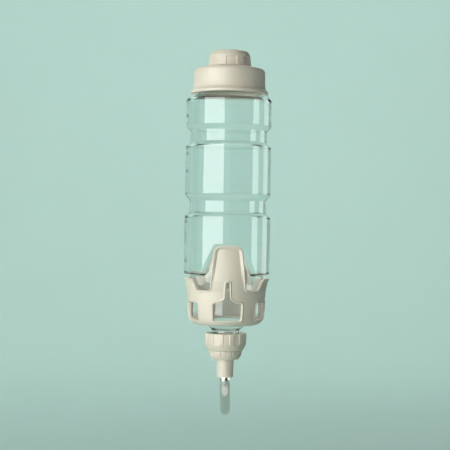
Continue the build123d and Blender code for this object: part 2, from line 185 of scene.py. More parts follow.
def polygon_distance(px, py, poly, closed=True):
    """Signed distance from points to a closed outline, negative inside; unsigned where it is open."""
    px, py = np.asarray(px, float), np.asarray(py, float)
    best = np.full(px.shape, 1e9)
    inside = np.zeros(px.shape, bool)
    n = len(poly)
    for i in range(n if closed else n - 1):
        ax, ay = poly[i]
        bx, by = poly[(i + 1) % n]
        ex, ey = bx - ax, by - ay
        ll = ex * ex + ey * ey
        t = np.clip(((px - ax) * ex + (py - ay) * ey) / ll, 0, 1)
        best = np.minimum(best, (px - ax - t * ex) ** 2 + (py - ay - t * ey) ** 2)
        if closed and ay != by:
            hit = ((ay > py) != (by > py)) & (px < (bx - ax) * (py - ay) / (by - ay) + ax)
            inside ^= hit
    d = np.sqrt(best)
    return np.where(inside, -d, d) if closed else d


def meet(a, b, r):
    """Intersection of two fields with its edge rounded to radius r."""
    return np.minimum(-r, np.maximum(a, b)) + np.sqrt(np.maximum(a + r, 0) ** 2 + np.maximum(b + r, 0) ** 2)


def join(a, b, r):
    """Union of two fields with its corner filled to radius r."""
    return np.maximum(r, np.minimum(a, b)) - np.sqrt(np.maximum(r - a, 0) ** 2 + np.maximum(r - b, 0) ** 2)


def surface_net(F, t0, dt, r0, dr, z0, dz):
    """Mesh of the zero surface of F[angle, radius, height], closed round in angle (degrees). Returns
    vertices about the bottle's axis, quads and unit normals."""
    inside = F < 0
    nt = F.shape[0]
    Fn = np.roll(F, -1, 0)
    In = np.roll(inside, -1, 0)
    cnt = np.zeros((nt, F.shape[1] - 1, F.shape[2] - 1), np.int8)
    for A in (inside, In):
        for j in (0, 1):
            for k in (0, 1):
                cnt += A[:, j:A.shape[1] - 1 + j, k:A.shape[2] - 1 + k]
    active = (cnt > 0) & (cnt < 8)
    ci, cj, ck = np.nonzero(active)
    index = np.full(active.shape, -1, np.int64)
    index[ci, cj, ck] = np.arange(len(ci))
    corner = np.empty((len(ci), 2, 2, 2))
    for a, A in enumerate((F, Fn)):
        for j in (0, 1):
            for k in (0, 1):
                corner[:, a, j, k] = A[ci, cj + j, ck + k]
    acc = np.zeros((len(ci), 3))
    num = np.zeros(len(ci))
    for ax in range(3):
        for u in (0, 1):
            for v in (0, 1):
                s0, s1 = [None] * 3, [None] * 3
                others = [q for q in range(3) if q != ax]
                s0[ax], s1[ax] = 0, 1
                s0[others[0]] = s1[others[0]] = u
                s0[others[1]] = s1[others[1]] = v
                f0 = corner[(slice(None), *s0)]
                f1 = corner[(slice(None), *s1)]
                cross = (f0 < 0) != (f1 < 0)
                t = np.where(cross, f0 / np.where(cross, f0 - f1, 1), 0)
                acc[:, ax] += np.where(cross, t, 0)
                acc[:, others[0]] += np.where(cross, u, 0)
                acc[:, others[1]] += np.where(cross, v, 0)
                num += cross
    acc /= num[:, None]
    T = t0 + (ci + acc[:, 0]) * dt
    R = r0 + (cj + acc[:, 1]) * dr
    Z = z0 + (ck + acc[:, 2]) * dz
    # gradient of the field in each cell, for the normals
    g = np.empty((len(ci), 3))
    a, j, k = acc[:, 0], acc[:, 1], acc[:, 2]
    def mix(c, p, q):
        return (c[:, 0, 0] * (1 - p) * (1 - q) + c[:, 0, 1] * (1 - p) * q + c[:, 1, 0] * p * (1 - q) + c[:, 1, 1] * p * q)
    g[:, 0] = mix(corner[:, 1] - corner[:, 0], j, k) / (dt * RAD * R)
    g[:, 1] = mix(corner[:, :, 1] - corner[:, :, 0], a, k) / dr
    g[:, 2] = mix(corner[:, :, :, 1] - corner[:, :, :, 0], a, j) / dz
    st, ct = np.sin(T * RAD), np.cos(T * RAD)
    V = np.stack([R * st, -R * ct, Z], -1)
    N = np.stack([g[:, 1] * st + g[:, 0] * ct, -g[:, 1] * ct + g[:, 0] * st, g[:, 2]], -1)
    N /= np.maximum(np.linalg.norm(N, axis=1, keepdims=True), 1e-9)
    quads = []
    def emit(mask, c):
        i, j, k = np.nonzero(mask)
        flip = inside[i, j, k]
        q = np.stack([index[(i + c[n][0]) % nt, j + c[n][1], k + c[n][2]] for n in range(4)], -1)
        ok = (q >= 0).all(1)
        q = np.where(flip[:, None], q[:, ::-1], q)
        quads.append(q[ok])
    m = np.zeros_like(inside)
    m[:, 1:-1, 1:-1] = (inside != In)[:, 1:-1, 1:-1]
    emit(m, [(0, -1, -1), (0, 0, -1), (0, 0, 0), (0, -1, 0)])
    m = np.zeros_like(inside)
    m[:, :-1, 1:-1] = (inside[:, :-1] != inside[:, 1:])[:, :, 1:-1]
    emit(m, [(-1, 0, -1), (-1, 0, 0), (0, 0, 0), (0, 0, -1)])
    m = np.zeros_like(inside)
    m[:, 1:-1, :-1] = (inside[:, :, :-1] != inside[:, :, 1:])[:, 1:-1]
    emit(m, [(-1, -1, 0), (0, -1, 0), (0, 0, 0), (-1, 0, 0)])
    return V, np.concatenate(quads), N


# =====================================================================================================
# materials
# =====================================================================================================
def new_material(name):
    m = bpy.data.materials.new(name)
    m.use_nodes = True
    nt = m.node_tree
    nt.nodes.clear()
    out = nt.nodes.new("ShaderNodeOutputMaterial")
    bsdf = nt.nodes.new("ShaderNodeBsdfPrincipled")
    nt.links.new(bsdf.outputs[0], out.inputs["Surface"])
    return m, nt, bsdf, out


def noise(nt, coords, scale, detail=3.0, rough=0.5):
    n = nt.nodes.new("ShaderNodeTexNoise")
    n.inputs["Scale"].default_value = scale
    n.inputs["Detail"].default_value = detail
    n.inputs["Roughness"].default_value = rough
    nt.links.new(coords, n.inputs["Vector"])
    return n


def ramp(nt, fac, stops):
    r = nt.nodes.new("ShaderNodeValToRGB")
    el = r.color_ramp.elements
    while len(el) < len(stops):
        el.new(0.5)
    for e, (p, c) in zip(el, stops):
        e.position = p
        e.color = (*c, 1.0) if len(c) == 3 else c
    nt.links.new(fac, r.inputs[0])
    return r


def span(nt, value, a, b, c, d):
    m = nt.nodes.new("ShaderNodeMapRange")
    for k, v in zip(("From Min", "From Max", "To Min", "To Max"), (a, b, c, d)):
        m.inputs[k].default_value = v
    nt.links.new(value, m.inputs["Value"])
    return m.outputs[0]


def moulded_plastic(name):
    """Warm light beige plastic: fine spark-eroded grain, faint flow clouding, a soft sheen."""
    m, nt, b, out = new_material(name)
    tc = nt.nodes.new("ShaderNodeTexCoord").outputs["Object"]
    cloud = noise(nt, tc, 38.0, 2.0)
    fine = noise(nt, tc, 2600.0, 2.0, 0.6)
    grain = noise(nt, tc, 5200.0, 1.0, 0.5)
    base = (0.770, 0.668, 0.550)
    lo = tuple(c * 0.955 for c in base)
    hi = tuple(min(1, c * 1.03) for c in base)
    col = ramp(nt, cloud.outputs["Fac"], [(0.32, lo), (0.68, hi)])
    nt.links.new(col.outputs[0], b.inputs["Base Color"])
    nt.links.new(span(nt, fine.outputs["Fac"], 0.3, 0.7, 0.42, 0.54), b.inputs["Roughness"])
    bump = nt.nodes.new("ShaderNodeBump")
    bump.inputs["Strength"].default_value = 0.16
    bump.inputs["Distance"].default_value = 0.00004
    nt.links.new(grain.outputs["Fac"], bump.inputs["Height"])
    nt.links.new(bump.outputs[0], b.inputs["Normal"])
    b.inputs["IOR"].default_value = 1.5
    b.inputs["Specular IOR Level"].default_value = 0.5
    b.inputs["Subsurface Weight"].default_value = 0.08
    b.inputs["Subsurface Radius"].default_value = (1.0, 0.8, 0.55)
    b.inputs["Subsurface Scale"].default_value = 0.0015
    return m


def clear_plastic(name):
    """Clear blown copolyester: nearly colourless, faint blow-moulding waviness. Lamps pass straight through."""
    m, nt, b, out = new_material(name)
    tc = nt.nodes.new("ShaderNodeTexCoord").outputs["Object"]
    b.inputs["Base Color"].default_value = (0.955, 0.985, 0.978, 1)
    b.inputs["Transmission Weight"].default_value = 1.0
    b.inputs["IOR"].default_value = 1.52
    wave = noise(nt, tc, 26.0, 1.5)
    scuff = noise(nt, tc, 420.0, 3.0, 0.65)
    nt.links.new(span(nt, scuff.outputs["Fac"], 0.35, 0.75, 0.012, 0.05), b.inputs["Roughness"])
    bump = nt.nodes.new("ShaderNodeBump")
    bump.inputs["Strength"].default_value = 0.22
    bump.inputs["Distance"].default_value = 0.0012
    nt.links.new(wave.outputs["Fac"], bump.inputs["Height"])
    nt.links.new(bump.outputs[0], b.inputs["Normal"])
    thru = nt.nodes.new("ShaderNodeBsdfTransparent")
    thru.inputs["Color"].default_value = (0.93, 0.96, 0.955, 1)
    path = nt.nodes.new("ShaderNodeLightPath")
    mix = nt.nodes.new("ShaderNodeMixShader")
    nt.links.new(path.outputs["Is Shadow Ray"], mix.inputs[0])
    nt.links.new(b.outputs[0], mix.inputs[1])
    nt.links.new(thru.outputs[0], mix.inputs[2])
    nt.links.new(mix.outputs[0], out.inputs["Surface"])
    return m


def mark_plastic(name):
    """The level marks' frosted grey print."""
    m, nt, b, out = new_material(name)
    tc = nt.nodes.new("ShaderNodeTexCoord").outputs["Object"]
    n = noise(nt, tc, 900.0, 2.0)
    col = ramp(nt, n.outputs["Fac"], [(0.3, (0.22, 0.27, 0.26)), (0.7, (0.28, 0.33, 0.32))])
    nt.links.new(col.outputs[0], b.inputs["Base Color"])
    b.inputs["Roughness"].default_value = 0.55
    return m


def silicone(name):
    m, nt, b, out = new_material(name)
    tc = nt.nodes.new("ShaderNodeTexCoord").outputs["Object"]
    n = noise(nt, tc, 700.0, 3.0)
    col = ramp(nt, n.outputs["Fac"], [(0.3, (0.70, 0.71, 0.69)), (0.7, (0.78, 0.79, 0.77))])
    nt.links.new(col.outputs[0], b.inputs["Base Color"])
    nt.links.new(span(nt, n.outputs["Fac"], 0.3, 0.7, 0.45, 0.62), b.inputs["Roughness"])
    b.inputs["Subsurface Weight"].default_value = 0.3
    b.inputs["Subsurface Scale"].default_value = 0.002
    return m


def steel(name, colour, rough, streak=(60.0, 60.0, 5.0), bump_mm=0.004):
    """Drawn or turned metal: fine streaks along one axis in roughness and bump."""
    m, nt, b, out = new_material(name)
    tc = nt.nodes.new("ShaderNodeTexCoord").outputs["Object"]
    mp = nt.nodes.new("ShaderNodeMapping")
    mp.inputs["Scale"].default_value = streak
    nt.links.new(tc, mp.inputs["Vector"])
    n = noise(nt, mp.outputs[0], 60.0, 4.0, 0.6)
    col = ramp(nt, n.outputs["Fac"], [(0.3, tuple(c * 0.93 for c in colour)), (0.7, colour)])
    nt.links.new(col.outputs[0], b.inputs["Base Color"])
    b.inputs["Metallic"].default_value = 1.0
    nt.links.new(span(nt, n.outputs["Fac"], 0.3, 0.7, rough * 0.75, rough * 1.3), b.inputs["Roughness"])
    bump = nt.nodes.new("ShaderNodeBump")
    bump.inputs["Strength"].default_value = 0.25
    bump.inputs["Distance"].default_value = bump_mm * MM
    nt.links.new(n.outputs["Fac"], bump.inputs["Height"])
    nt.links.new(bump.outputs[0], b.inputs["Normal"])
    return m


BEIGE = moulded_plastic("beige_moulded")
CLEAR = clear_plastic("clear_bottle")
MARK = mark_plastic("level_mark")
SILICONE = silicone("silicone_seal")
STAINLESS = steel("stainless_drawn", (0.86, 0.81, 0.76), 0.19, (40.0, 6.0, 6.0), 0.003)
ZINC = steel("zinc_plated", (0.66, 0.67, 0.68), 0.28)
BRASS = steel("brass_turned", (0.80, 0.62, 0.30), 0.26)


def draw_in(o, axis, limit, share):
    """Draws in the few points that stand past a limit on one axis, so that the outline stays the CAD's."""
    co = np.empty(len(o.data.vertices) * 3)
    o.data.vertices.foreach_get("co", co)
    co = co.reshape(-1, 3)
    past = co[:, axis] < limit
    co[past, axis] = limit + (co[past, axis] - limit) * share
    o.data.vertices.foreach_set("co", co.ravel())
    o.data.update()
    return o


def piece(o, body, slot_name, *nodes):
    if nodes:
        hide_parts(*nodes)
    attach(o, body)
    return o


# =====================================================================================================
# clear bottle
# =====================================================================================================
R_BODY, R_WAIST, WALL = 41.1, 37.0, 1.3
Z_MOUTH, R_MOUTH, MOUTH_WALL = 201.3, 30.6, 2.1
Z_STEP, R_LOW, Z_FLOOR = 8.8, 33.2, -33.2
R_NECK, NECK_WALL, Z_NECK_END, R_BEAD = 13.2, 1.7, -58.8, 17.0


def upper_line(t):
    rm = R_MOUTH - (MOUTH_WALL if t else 0)
    pts = rounded([
        (rm, Z_MOUTH), (rm, 182.6 - 0.4 * t, 2.0), (36.6 - t, 180.0 - 0.8 * t, 3.0), (R_BODY - t, 174.7 - 0.8 * t, 3.0),
        (R_BODY - t, 149.3 + 0.6 * t, 1.6), (R_WAIST - t, 145.2 + 0.2 * t, 1.8), (R_WAIST - t, 133.4 - 0.2 * t, 2.2),
        (R_BODY - t, 130.8 - 1.1 * t, 2.6), (R_BODY - t, 84.3 + 0.6 * t, 1.6), (R_WAIST - t, 78.4 + 0.2 * t, 1.8),
        (R_WAIST - t, 66.7 - 0.2 * t, 2.2), (R_BODY - t, 64.1 - 1.1 * t, 2.6), (R_BODY - t, Z_STEP + 0.8 * t, 1.6),
        (35.2 - t, 7.2 + t), (34.0 - t, 6.6)], closed=False, arc=4.0, support=0)
    return pts[::-1]


def lower_line(t):
    rn = R_NECK - (NECK_WALL if t else 0)
    pts = rounded([
        (36.9 - t, 210.0), (36.9 - t, 37.0, 20), (36.3 - t, 20.0, 30), (35.2 - t, 3.0, 30),
        (34.1 - t, -7.0, 30), (R_LOW - t, -20.0, 30), (R_LOW - t, Z_FLOOR + 0.5 * t, 6.5),
        (21.0 - 0.6 * t, -37.6 + 0.9 * t, 5.0), (15.6 - 0.8 * t, -42.8 + 0.4 * t, 3.0),
        (rn, -44.8 + 0.2 * t, 1.2), (rn, Z_NECK_END - 1)], closed=False, arc=4.0, support=0)
    return pts[::-1]


ARCH = rounded([(30.5, -20.0), (29.5, 3.0), (22.8, 12.6, 7.0), (17.3, 26.0, 16.0), (13.1, 36.8, 6.0), (-13.1, 36.8, 6.0),
                (-17.3, 26.0, 16.0), (-22.8, 12.6, 7.0), (-29.5, 3.0), (-30.5, -20.0)], arc=8.0, support=0)


def helix_ridge(Z, T, z_low, pitch, turns, height, w_root, w_crest):
    """Height of a right-handed thread ridge at height Z and angle T, tapering out at both ends."""
    # the angle is measured counter-clockwise seen from above, from the front
    out = np.zeros_like(Z)
    for k in range(-1, int(math.ceil(turns)) + 1):
        along = k + (T % 360.0) / 360.0
        d = np.abs(Z - (z_low + along * pitch))
        prof = np.clip((w_root / 2 - d) / (w_root / 2 - w_crest / 2), 0, 1)
        ends = smooth(0.0, 0.10, along) * smooth(turns, turns - 0.10, along)
        out = np.maximum(out, height * smooth(0, 1, prof) * ends)
    return out


def bottle_radius(Z, T, t):
    """Radius of the bottle's outer skin (t = 0) or inner skin (t = wall) at height Z and angle T."""
    up, lo = upper_line(t), lower_line(t)
    U = np.interp(Z, up[:, 1], up[:, 0])
    L = np.interp(Z, lo[:, 1], lo[:, 0])
    a = np.where(np.abs(wrap(T)) < 90, wrap(T), wrap(180 - T))
    x = 39.0 * np.sin(a * RAD)
    d = polygon_distance(x, Z, ARCH)          # negative inside a tongue pocket
    s = smooth(-2.3 - t * 0.3, 0.3 + t * 0.2, d)
    W = np.where(Z > 45.0, U, L + np.maximum(U - L, 0) * s)
    W = np.where(Z < 6.8, L, W)
    if t == 0:
        W = W + helix_ridge(Z, -T, 189.2, 4.0, 1.5, 1.2, 2.4, 1.0)
        W = W + helix_ridge(Z, -T, -57.2, 3.2, 1.4, 1.0, 1.9, 0.8)
        bead = np.clip(np.minimum(-47.95 - Z, Z + 50.15) / 0.55, 0, 1)
        W = W + (R_BEAD - R_NECK) * np.sqrt(1 - (1 - bead) ** 2) * ((Z < -47.9) & (Z > -50.2))
    return W


def rows(zones):
    z = []
    for a, b, step in zones:
        k = max(1, int(round(abs(a - b) / step)))
        z.extend(np.linspace(a, b, k, endpoint=False))
    z.append(zones[-1][1])
    return np.array(z)


def build_bottle():
    segs = 256
    zo = rows([(200.9, 199.5, 0.35), (199.5, 187.5, 0.45), (187.5, 171.5, 0.5), (171.5, 152, 3), (152, 143.5, 0.42),
               (143.5, 135.5, 2), (135.5, 126, 0.4), (126, 87, 3), (87, 76, 0.45), (76, 69, 2), (69, 59.5, 0.4),
               (59.5, 42, 2), (42, 10.5, 0.6), (10.5, 6.4, 0.22), (6.4, -20, 1.5), (-20, -46, 0.5), (-46, -47.9, 0.4), (-47.9, -48.6, 0.11),
               (-48.6, -49.5, 0.3), (-49.5, -50.2, 0.11), (-50.2, -58.4, 0.3)])
    zi = rows([(200.9, 187.5, 2.5), (187.5, 171.5, 0.6), (171.5, 152, 3), (152, 143.5, 0.55), (143.5, 135.5, 2),
               (135.5, 126, 0.5), (126, 87, 3), (87, 76, 0.6), (76, 69, 2), (69, 59.5, 0.55), (59.5, 42, 2), (42, 12, 0.8),
               (12, 7, 0.35), (7, -20, 2), (-20, -46, 0.6), (-46, -58.4, 2.5)])
    th = np.arange(segs) * 360.0 / segs
    To, Zo = np.meshgrid(th, zo)
    Ro = bottle_radius(Zo, To, 0.0)
    Ti, Zi = np.meshgrid(th, zi)
    Ri = bottle_radius(Zi, Ti, WALL)
    # rims: rounded over between the two skins
    def rim(r_out, r_in, z, up):
        c, h = (r_out + r_in) / 2, (r_out - r_in) / 2
        k = 7
        ang = np.linspace(0, math.pi, k)[1:-1]
        zz = z + up * 0.4 * np.sin(ang)
        rr = c + h * np.cos(ang)
        return rr[:, None] * np.ones(segs), zz[:, None] * np.ones(segs)
    bot_r, bot_z = rim(Ro[-1].mean(), Ri[-1].mean(), -58.4, -1)
    top_r, top_z = rim(Ro[0].mean(), Ri[0].mean(), 200.9, 1)
    R = np.vstack([Ro, bot_r, Ri[::-1], top_r[::-1]])
    Z = np.vstack([Zo, bot_z, Zi[::-1], top_z[::-1]])
    T = np.repeat(th[None, :], len(R), 0)
    V = np.stack([R * np.sin(T * RAD), AXIS - R * np.cos(T * RAD), Z], -1)
    n, m = R.shape
    idx = np.arange(n * m).reshape(n, m)
    b = np.roll(idx, -1, 0)
    quads = np.stack([idx, b, np.roll(b, -1, 1), np.roll(idx, -1, 1)], -1).reshape(-1, 4)
    return mesh_object("bottle_shell", V.reshape(-1, 3), quads, material=CLEAR)


bottle = piece(build_bottle(), "bottle", "clear_plastic", "bottle")


def level_marks():
    """Raised level marks on the left of the wide bands: a line and a number, in millilitres."""
    verts, faces = [], []
    r0 = R_BODY - 0.05
    def put(mesh_verts, mesh_faces, z, angle):
        base = len(verts)
        for x, y, h in mesh_verts:
            a = angle * RAD + x / R_BODY
            r = r0 + h
            verts.append((r * math.sin(a), AXIS - r * math.cos(a), z + y))
        faces.extend([tuple(base + i for i in f) for f in mesh_faces])
    for z, label in ((158.5, "900"), (123.0, "700"), (106.0, "600"), (58.5, "400"), (21.5, "200")):
        cu = bpy.data.curves.new("n", "FONT")
        cu.body = label
        cu.size = 4.6
        cu.extrude = 0.12
        cu.offset = 0.03
        cu.align_x = "LEFT"
        cu.align_y = "CENTER"
        cu.resolution_u = 3
        ob = bpy.data.objects.new("n", cu)
        bpy.context.scene.collection.objects.link(ob)
        bpy.context.view_layer.update()
        me = bpy.data.meshes.new_from_object(ob)
        mv = [(v.co.x, v.co.y, v.co.z + 0.12) for v in me.vertices]
        mf = [tuple(p.vertices) for p in me.polygons]
        put(mv, mf, z, -79.0)
        bpy.data.objects.remove(ob)
        # the line beside the number, a bar with bevelled ends
        k = 12
        bar = rounded([(-7.0, -0.28, 0.25), (-1.4, -0.28, 0.25), (-1.4, 0.28, 0.25), (-7.0, 0.28, 0.25)], arc=30, support=0)
        n = len(bar)
        bv = [(x, y, 0.0) for x, y in bar] + [(x, y, 0.24) for x, y in bar]
        bf = [tuple(range(n))[::-1], tuple(range(n, 2 * n))] + [(i, (i + 1) % n, n + (i + 1) % n, n + i) for i in range(n)]
        put(bv, bf, z, -79.0)
    me = bpy.data.meshes.new("level_marks")
    me.from_pydata([tuple(c * MM for c in v) for v in verts], [], faces)
    me.validate()
    o = bpy.data.objects.new("level_marks", me)
    bpy.context.scene.collection.objects.link(o)
    me.materials.append(MARK)
    return o


piece(draw_in(level_marks(), 0, -0.0409, 0.35), "bottle", "clear_plastic")

# =====================================================================================================
# lid, fill cap, seals
# =====================================================================================================
CAP_RIDGE, R_SPIGOT, R_FILL, Z_SPIGOT, Z_LID_TOP = 0.9, 15.2, 12.6, 217.6, 206.7
R_LID, R_FLANGE, Z_LID_BOTTOM = 34.3, 37.3, 180.5
lid_bore = R_MOUTH + 1.2 + 0.5
lid_outline = rounded([
    (R_FILL, 200.9), (R_FILL, Z_SPIGOT, 0.4), (R_SPIGOT, Z_SPIGOT, 0.6), (R_SPIGOT, 213.6), (R_SPIGOT, 209.0),
    (R_SPIGOT, Z_LID_TOP, 0.4), (22.0, Z_LID_TOP, 4.0), (31.0, 205.0, 6.0), (R_LID - 0.1, 204.0, 3.4), (R_LID, 190.0, 14.0),
    (R_LID + 0.5, 185.2, 5.0), (R_FLANGE, 183.0, 0.9), (R_FLANGE, Z_LID_BOTTOM + 0.4, 0.35),
    (35.6, Z_LID_BOTTOM + 0.2, 0.3), (34.4, 184.4, 0.6), (lid_bore, 185.0, 0.6), (lid_bore, 203.0, 0.3),
    (26.9, 203.0, 0.3), (26.9, 200.9, 0.3), (25.2, 200.9, 0.3), (25.2, 203.0, 0.5), (14.8, 203.6, 0.5),
    (14.8, 200.9, 0.4)], arc=8.0)
# more rows where the spigot's thread runs
thread_rows = np.array([(R_SPIGOT, z) for z in np.arange(216.6, 207.8, -0.3)])
on_wall = (np.abs(lid_outline[:, 0] - R_SPIGOT) < 1e-6) & (lid_outline[:, 1] < 216.9) & (lid_outline[:, 1] > 207.6)
before = lid_outline[:np.where(on_wall)[0][0]]
after = lid_outline[np.where(on_wall)[0][-1] + 1:]
lid_outline = np.vstack([before, thread_rows, after])


def lid_warp(R, Z, T):
    wall = (np.abs(R - R_SPIGOT) < 1e-4) & (Z < 217.0) & (Z > 207.5)
    return R + np.where(wall, helix_ridge(Z, -T, 209.4, 3.0, 1.75, CAP_RIDGE, 1.8, 0.8), 0)


lid = piece(lathe("screw_lid", lid_outline, 240, BEIGE, lid_warp), "lid", "beige_plastic", "top_lid")

R_CAP_BOTTOM, R_CAP_TOP, Z_CAP_BOTTOM, Z_CAP_TOP = 20.8, 19.2, 207.0, 222.3
CAP_BORE = R_SPIGOT + CAP_RIDGE + 0.4
CAP_LEAN = 1.2 / 10.2
cap_wall = [(R_CAP_BOTTOM - (z - Z_CAP_BOTTOM) * CAP_LEAN, z) for z in np.arange(207.6, 216.3, 0.3)]
cap_outline = rounded([(0, 219.3), (CAP_BORE, 219.3, 0.5), (CAP_BORE, Z_CAP_BOTTOM, 0.3), (R_CAP_BOTTOM, Z_CAP_BOTTOM, 0.35)], closed=False)
cap_top = rounded([(R_CAP_BOTTOM - (216.4 - Z_CAP_BOTTOM) * CAP_LEAN, 216.4), (19.55, 217.6, 4.0), (17.6, Z_CAP_TOP - 0.35, 3.0),
                   (9.0, Z_CAP_TOP - 0.05, 20.0), (0, Z_CAP_TOP)], closed=False, arc=6.0)
cap_outline = np.vstack([cap_outline[:-1], cap_wall, cap_top[1:]])


def cap_warp(R, Z, T):
    """Seven wide shallow grips with lands between, ending two thirds of the way up."""
    step = 360.0 / 7.0
    a = np.abs(((T - 2.4 + step / 2) % step) - step / 2)
    cut = smooth(14.9, 13.9, a) * smooth(216.3, 215.3, Z) * (R > 18.0)
    return R - (0.62 + 0.18 * np.cos(a * 5 * RAD)) * cut


cap = piece(lathe("fill_cap_knob", cap_outline, 720, BEIGE, cap_warp), "cap", "beige_plastic", "fill_cap")

# =====================================================================================================
# cradle: one moulding, as a field in angle, radius and height
# =====================================================================================================
W = 2.6
OUT_LINE = [(36.3, -25.9), (37.0, -16.3), (37.8, -6.7), (40.2, 3.2), (41.2, 14.0), (41.5, 37.0)]
Z_HUMP, Z_VALLEY, Z_TONGUE, Z_BACK = 4.8, -6.0, 35.6, 33.0
Z_WT, Z_WB = -17.7, -34.3


def cradle_mesh():
    section = rounded(
        [(23.5, -39.6, 0.5), (34.6, -39.6, 8.5)] + [(r, z, 12.0) for r, z in OUT_LINE[:-1]] + [(41.5, 40.0), (41.5 - W, 40.0)]
        + [(r - W, z, 12.0) for r, z in reversed(OUT_LINE[:-1])] + [(33.6, -33.15, 6.3), (23.5, -36.9, 0.6)],
        arc=6.0, support=0)
    outer = rounded([(30.0, -39.6), (34.6, -39.6, 8.5)] + [(r, z, 12.0) for r, z in OUT_LINE[:-1]] + [(41.5, 40.0)],
                    closed=False, arc=4.0, support=0)
    inner = rounded([(23.5, -36.9), (33.6, -33.15, 6.3)] + [(r - W, z, 12.0) for r, z in OUT_LINE[:-1]] + [(41.5 - W, 40.0)],
                    closed=False, arc=4.0, support=0)
    nt = 484
    dt = 360.0 / nt
    dr = dz = 0.5
    r0, z0 = 21.9, -40.9
    nr, nz = int((47.4 - r0) / dr), int((37.3 - z0) / dz)
    th = np.arange(nt) * dt
    r = r0 + np.arange(nr) * dr
    z = z0 + np.arange(nz) * dz
    # wall section in (radius, height), sampled finely enough to shift
    RR, ZZ = np.meshgrid(r, z, indexing="ij")
    sec = polygon_distance(RR, ZZ, section)
    # outline of the wall unrolled: s is the arc length from the front at radius 38.5
    S = 38.5 * RAD
    def deg(x, rr):
        return math.degrees(math.asin(x / rr)) * S
    half = 180 * S
    fe = [(deg(12.9, 41.2), Z_TONGUE - 0.2, 6.0), (deg(16.8, 38.6), Z_VALLEY, 4.2), (deg(28.8, 38.2), Z_VALLEY, 2.6),
          (deg(33.2, 40.2), Z_HUMP, 7.0)]
    be = [(half - deg(33.0, 40.2), Z_HUMP, 3.0), (half - deg(29.0, 38.4), Z_VALLEY + 2.7, 3.0),
          (half - deg(23.0, 38.4), Z_VALLEY + 2.7, 3.0), (half - deg(14.6, 41.0), 12.0, 12.0), (half - deg(12.2, 41.4), Z_BACK, 6.0)]
    right = [(0.0, Z_TONGUE + 0.25)] + fe + be + [(half, Z_BACK)]
    edge = rounded([(-half - 20, -60), (half + 20, -60), (half + 20, Z_BACK)] + right[::-1]
                   + [(-x, *rest) for x, *rest in right[1:]] + [(-half - 20, Z_BACK)], arc=8.0, support=0)
    TT, Z2 = np.meshgrid(wrap(th), z, indexing="ij")
    s2 = TT * S
    d_edge = polygon_distance(s2, Z2, edge)          # negative in the wall
    k = 37.4 / 38.5
    front = rounded([(x / k, y, q) for x, y, q in [
        (14.0, Z_WB, 1.8), (14.0, Z_WT, 1.8), (8.4, Z_WT, 4.0), (2.2, -14.0, 5.0), (1.35, 2.0, 1.1), (-1.35, 2.0, 1.1), (-2.2, -14.0, 5.0),
        (-8.4, Z_WT, 4.0), (-14.0, Z_WT, 1.8), (-14.0, Z_WB, 1.8)]], arc=10.0, support=0)
    win = polygon_distance(s2, Z2, front)
    for c0, c1 in ((48.5, 80.2), (99.8, 131.5)):
        for sg in (1, -1):
            a, b = sg * c0 * S, sg * c1 * S
            box = rounded([(a, Z_WB, 2.2), (a, Z_WT, 2.2), (b, Z_WT, 2.2), (b, Z_WB, 2.2)], arc=12.0, support=0)
            win = np.minimum(win, polygon_distance(s2, Z2, box))
    d_cut = np.maximum(d_edge, -win)
    # the front tongue's face falls back inside its raised rim, most at the top
    scoop = 1.35 * smooth(-1.8, -3.4, d_edge) * smooth(-4.0, 20.0, Z2) * (np.abs(TT) < 30)
    scoop += 0.6 * smooth(-1.7, -3.6, d_edge) * smooth(14.0, 31.0, Z2) * (np.abs(TT) > 150)
    F = np.empty((nt, nr, nz), np.float32)
    ro = np.interp(z, outer[:, 1], outer[:, 0])
    ri = np.interp(z, inner[:, 1], inner[:, 0])
    lean = np.cos(np.arctan(np.gradient(ro, z)))
    kk = np.arange(nz)[None, :]
    for i in range(nt):
        sh = scoop[i][None, :]
        fi = np.clip((r[:, None] + sh - r0) / dr, 0, nr - 1.001)
        lo = fi.astype(int)
        fr = fi - lo
        d = sec[lo, kk] * (1 - fr) + sec[lo + 1, kk] * fr
        cut = d_cut[i][None, :]
        f = meet(d, np.broadcast_to(cut, d.shape), 0.6)
        e = (r[:, None] - ro[None, :]) * lean[None, :]
        bead = np.sqrt((cut + 0.86) ** 2 + (e + 0.08) ** 2) - 0.86
        bead = np.where((z[None, :] > -36.5), bead, 5.0)
        f = join(f, bead, 0.22)
        a = th[i] * RAD
        x, y = r[:, None] * math.sin(a) * np.ones((1, nz)), -r[:, None] * math.cos(a) * np.ones((1, nz))
        if y.max() > 30:
            qx, qz = np.abs(x) - 14.0 + 5.0, np.abs(z[None, :] + 1.5) - 15.5 + 5.0
            dxz = np.minimum(np.maximum(qx, qz), 0) + np.sqrt(np.maximum(qx, 0) ** 2 + np.maximum(qz, 0) ** 2) - 5.0
            pad = meet(dxz, np.abs(y - 38.0) - 6.0, 0.7)
            f = join(f, pad, 1.4)
            f = meet(f, ri[None, :] - r[:, None] + 0 * f, 0.3)
            rad = np.sqrt(x ** 2 + z[None, :] ** 2)
            f = np.maximum(f, -np.maximum(rad - 7.3, y - 38.6))
            f = np.maximum(f, -(np.maximum(np.abs(x), np.abs(z[None, :])) - 3.15))
        F[i] = f
    F[:, 0] = F[:, -1] = 2.0
    F[:, :, 0] = F[:, :, -1] = 2.0
    V, quads, N = surface_net(F.astype(float), 0.0, dt, r0, dr, z0, dz)
    V[:, 1] += AXIS
    return mesh_object("cradle_moulding", V, quads, normals=N, material=BEIGE)


cradle = piece(draw_in(cradle_mesh(), 1, -0.0849, 0.44), "base", "beige_plastic", "base_cradle")

